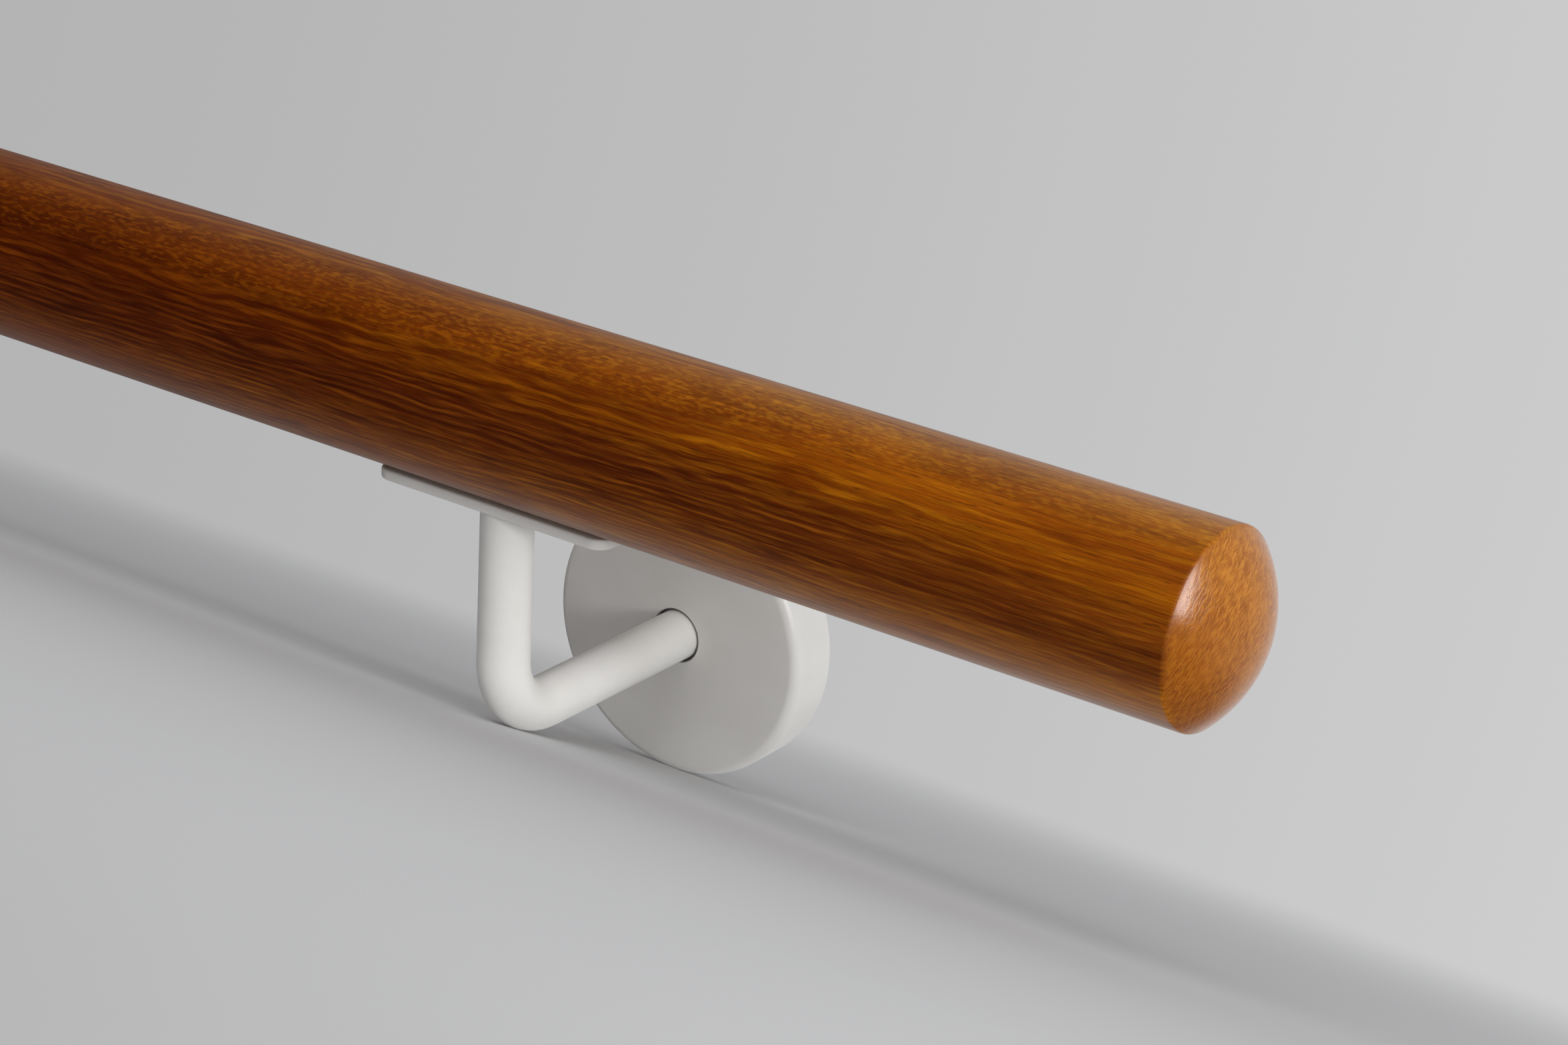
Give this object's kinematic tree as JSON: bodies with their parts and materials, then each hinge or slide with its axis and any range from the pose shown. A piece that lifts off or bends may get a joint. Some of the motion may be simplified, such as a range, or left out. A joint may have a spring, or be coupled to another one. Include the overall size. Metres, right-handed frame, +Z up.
{
  "type": "stair handrail length with wall brackets",
  "caption": "Round varnished hardwood stair handrail length with shallow domed ends, screwed to white steel wall brackets with round cover rosettes.",
  "frame": {"origin": "middle of the part's box, on the floor that the rail stands on", "axes": "+X along the rail towards its right end as seen facing the wall, +Y towards the wall's side, +Z up from the floor; the part stands on its elbows and rosette rims, so the hung rail's own upright is leant 27.6 degrees about X"},
  "size_m": [0.8, 0.1404, 0.0886],
  "materials": {
    "varnished_hardwood": "satin varnish",
    "white_powder_coat": "satin powder coat",
    "zinc_plated_screw": "zinc plated"
  },
  "bodies": {
    "root": {"handrail": "varnished_hardwood", "support_plate_right": "white_powder_coat", "bracket_arm_right": "white_powder_coat", "wall_flange_right": "white_powder_coat", "cover_rosette_right": "white_powder_coat", "plate_screw_right_inner": "zinc_plated_screw", "plate_screw_right_outer": "zinc_plated_screw", "support_plate_left": "white_powder_coat", "bracket_arm_left": "white_powder_coat", "wall_flange_left": "white_powder_coat", "cover_rosette_left": "white_powder_coat", "plate_screw_left_inner": "zinc_plated_screw", "plate_screw_left_outer": "zinc_plated_screw"}
  },
  "joints": []
}
